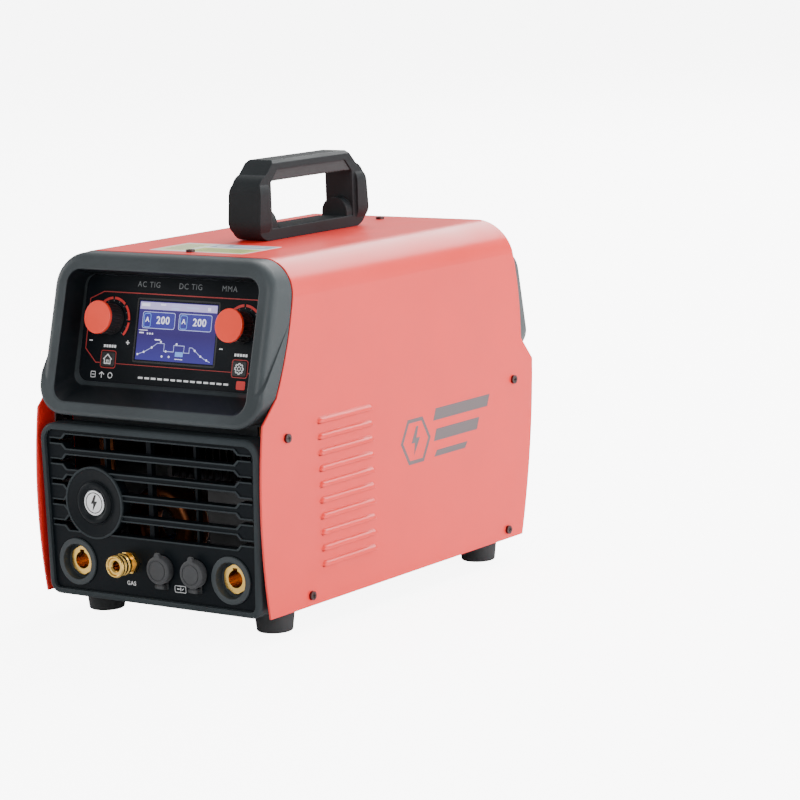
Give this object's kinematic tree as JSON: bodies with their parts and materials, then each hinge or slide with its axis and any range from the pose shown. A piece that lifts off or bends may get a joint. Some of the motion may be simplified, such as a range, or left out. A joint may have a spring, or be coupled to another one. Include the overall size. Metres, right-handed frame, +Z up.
{
  "type": "tig welder",
  "caption": "Portable TIG welding power source: red sheet cover, leaning control panel with screen and knobs, slotted front with output sockets, carrying handle.",
  "frame": {"origin": "On the floor under the middle of the whole machine's bounding box.", "axes": "+X to the right seen from the front, +Y from the front panel towards the rear, +Z up."},
  "size_m": [0.226, 0.419, 0.3445],
  "materials": {
    "red_paint": "gloss",
    "charcoal_plastic": "satin",
    "handle_plastic": "satin",
    "grip_rubber": "matte",
    "panel_black": "satin",
    "screen": "gloss",
    "knob_black": "matte",
    "knob_orange": "gloss",
    "key_black": "satin",
    "badge_metal": "polished",
    "brass": "machined",
    "socket_plastic": "satin",
    "cap_rubber": "matte",
    "rocker_red": "gloss",
    "foot_rubber": "matte",
    "zinc_steel": "zinc plated",
    "black_wire": "satin",
    "plate_foil": "satin",
    "circuit_green": "satin",
    "module_black": "matte",
    "heatsink_metal": "extruded",
    "ferrite": "matte",
    "copper": "enamelled",
    "valve_metal": "satin",
    "hose_rubber": "matte"
  },
  "bodies": {
    "chassis": {"base_tray": "zinc_steel", "busbars": "copper", "capacitors": "module_black", "coil_mounts": "zinc_steel", "control_board": "circuit_green", "cover": "red_paint", "cover_screws": "zinc_steel", "display_panel": "panel_black", "display_screen": "screen", "emblem_badge": "badge_metal", "emblem_dish": "charcoal_plastic", "encoders": "module_black", "fan_frame": "socket_plastic", "fan_guard": "black_wire", "fan_screws": "zinc_steel", "foot_screws": "zinc_steel", "front_grille": "charcoal_plastic", "front_hood": "charcoal_plastic", "front_left_foot": "foot_rubber", "front_right_foot": "foot_rubber", "gas_coupler_body": "brass", "gas_hoses": "hose_rubber", "gas_inlet": "brass", "handle_body": "handle_plastic", "handle_grip": "grip_rubber", "handle_screws": "zinc_steel", "igniter_unit": "module_black", "inverter_heatsink": "heatsink_metal", "left_socket_flange": "charcoal_plastic", "left_socket_insert": "brass", "mains_gland": "socket_plastic", "mains_gland_nut": "socket_plastic", "output_choke": "copper", "power_board": "circuit_green", "power_modules": "module_black", "power_switch_frame": "socket_plastic", "rating_plate": "plate_foil", "rear_bezel": "charcoal_plastic", "rear_left_foot": "foot_rubber", "rear_right_foot": "foot_rubber", "rectifier_heatsink": "heatsink_metal", "remote_sockets": "socket_plastic", "right_socket_flange": "charcoal_plastic", "right_socket_insert": "brass", "solenoid_valve": "valve_metal", "transformer_core": "ferrite", "transformer_winding": "copper"},
    "left_knob_group": {"left_knob": "knob_black", "left_knob_cap": "knob_orange", "left_knob_shaft": "zinc_steel"},
    "right_knob_group": {"right_knob": "knob_black", "right_knob_cap": "knob_orange", "right_knob_shaft": "zinc_steel"},
    "home_key": {"home_button": "key_black"},
    "settings_key": {"settings_button": "key_black"},
    "gas_sleeve": {"gas_coupler_sleeve": "brass"},
    "cap_a": {"remote_cap_a": "cap_rubber"},
    "cap_b": {"remote_cap_b": "cap_rubber"},
    "rocker": {"power_switch_rocker": "rocker_red"},
    "fan": {"fan_rotor": "socket_plastic"}
  },
  "joints": [
    {"name": "left_knob_turn", "type": "hinge", "parent": "chassis", "child": "left_knob_group", "pos_m": [-0.064, -0.14944, 0.2296], "axis": [0, -0.9744, 0.225], "continuous": true},
    {"name": "right_knob_turn", "type": "hinge", "parent": "chassis", "child": "right_knob_group", "pos_m": [0.064, -0.14944, 0.2296], "axis": [0, -0.9744, 0.225], "continuous": true},
    {"name": "home_key_press", "type": "slide", "parent": "chassis", "child": "home_key", "axis": [0, 0.9744, -0.225], "range_m": [0, 0.0008], "stiffness_N_per_m": 600},
    {"name": "settings_key_press", "type": "slide", "parent": "chassis", "child": "settings_key", "axis": [0, 0.9744, -0.225], "range_m": [0, 0.0008], "stiffness_N_per_m": 600},
    {"name": "gas_sleeve_pull", "type": "slide", "parent": "chassis", "child": "gas_sleeve", "axis": [0, 1, 0], "range_m": [0, 0.0035], "stiffness_N_per_m": 900},
    {"name": "cap_a_swing", "type": "hinge", "parent": "chassis", "child": "cap_a", "pos_m": [0.0092, -0.1936, 0.0346], "axis": [1, 0, 0], "range_deg": [0, 100]},
    {"name": "cap_b_swing", "type": "hinge", "parent": "chassis", "child": "cap_b", "pos_m": [0.0415, -0.1936, 0.0346], "axis": [1, 0, 0], "range_deg": [0, 100]},
    {"name": "power_switch_rock", "type": "hinge", "parent": "chassis", "child": "rocker", "pos_m": [0.062, 0.16829, 0.22372], "axis": [-1, 0, 0], "range_deg": [0, 18]},
    {"name": "fan_spin", "type": "hinge", "parent": "chassis", "child": "fan", "pos_m": [0.02, 0.139, 0.09], "axis": [0, 1, 0], "continuous": true}
  ]
}
